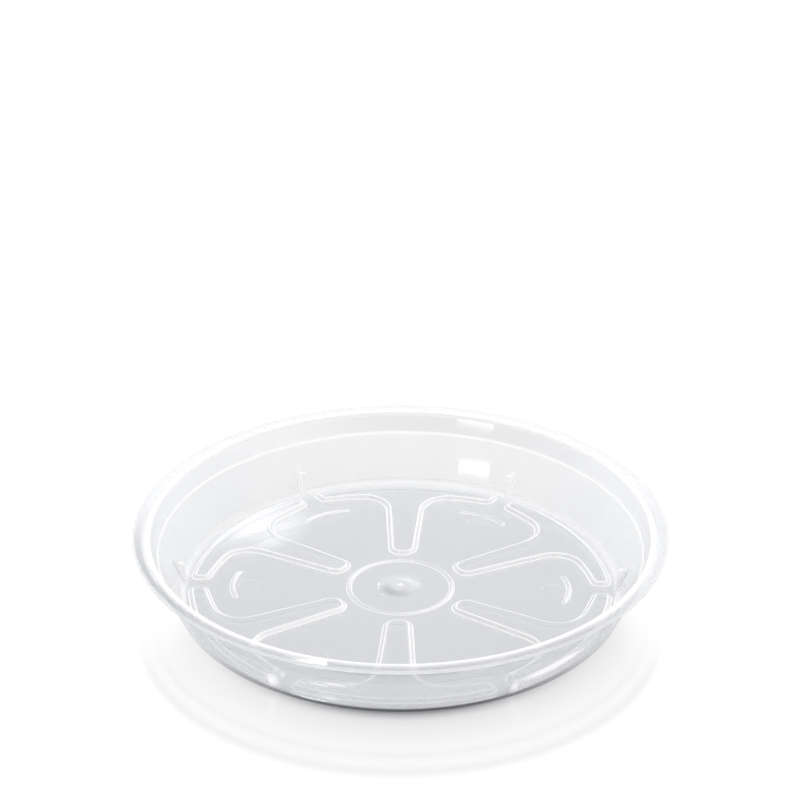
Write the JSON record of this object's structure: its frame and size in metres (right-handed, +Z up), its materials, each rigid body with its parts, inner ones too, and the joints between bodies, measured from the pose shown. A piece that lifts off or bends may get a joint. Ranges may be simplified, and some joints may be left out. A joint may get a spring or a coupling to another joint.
{
  "type": "plant saucer",
  "caption": "Round clear plastic plant saucer with a flared wall, a flat rim flange, stacking ribs and raised T-shaped pads that lift the pot off the floor.",
  "frame": {"origin": "centre of the flat underside, on the table that the saucer stands on", "axes": "+Z up along the saucer's axis, +X to the picture's right, -Y towards the camera"},
  "size_m": [0.18, 0.18, 0.0254],
  "materials": {
    "clear_plastic": "clear, colourless, glossy on both faces"
  },
  "bodies": {
    "root": {"saucer": "clear_plastic"}
  },
  "joints": []
}
